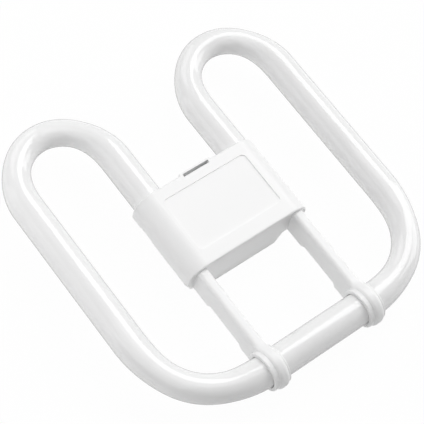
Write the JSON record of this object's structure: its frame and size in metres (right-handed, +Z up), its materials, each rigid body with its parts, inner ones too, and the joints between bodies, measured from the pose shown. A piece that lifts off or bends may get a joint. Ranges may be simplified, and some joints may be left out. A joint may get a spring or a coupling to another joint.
{
  "type": "square compact fluorescent lamp",
  "caption": "Flat square fluorescent lamp: one bent opal glass tube in two loops, a moulded cap with recessed pins and two arms that clip to the tube.",
  "frame": {"origin": "under the middle of the lamp's outline, at the level of the flat rim round the pin well", "axes": "+Z up to the label side, +X across the two loops, +Y from the clipped bottom run towards the loops' closed ends"},
  "size_m": [0.2056, 0.2116, 0.0349],
  "materials": {
    "opal_glass": "clear glass over a white fluorescent coat, glossy and opaque",
    "white_plastic": "white moulded PBT, satin",
    "pin_brass": "bright turned brass",
    "tinned_wire": "tinned bare wire",
    "cement": "dull heat-proof cement"
  },
  "bodies": {
    "root": {"discharge_tube": "opal_glass", "cap_cover": "white_plastic", "cap_base": "white_plastic", "contact_pin_1": "pin_brass", "contact_pin_2": "pin_brass", "contact_pin_3": "pin_brass", "contact_pin_4": "pin_brass", "lead_wire_1": "tinned_wire", "lead_wire_2": "tinned_wire", "lead_wire_3": "tinned_wire", "lead_wire_4": "tinned_wire", "tube_cement_left": "cement", "tube_cement_right": "cement"}
  },
  "joints": []
}
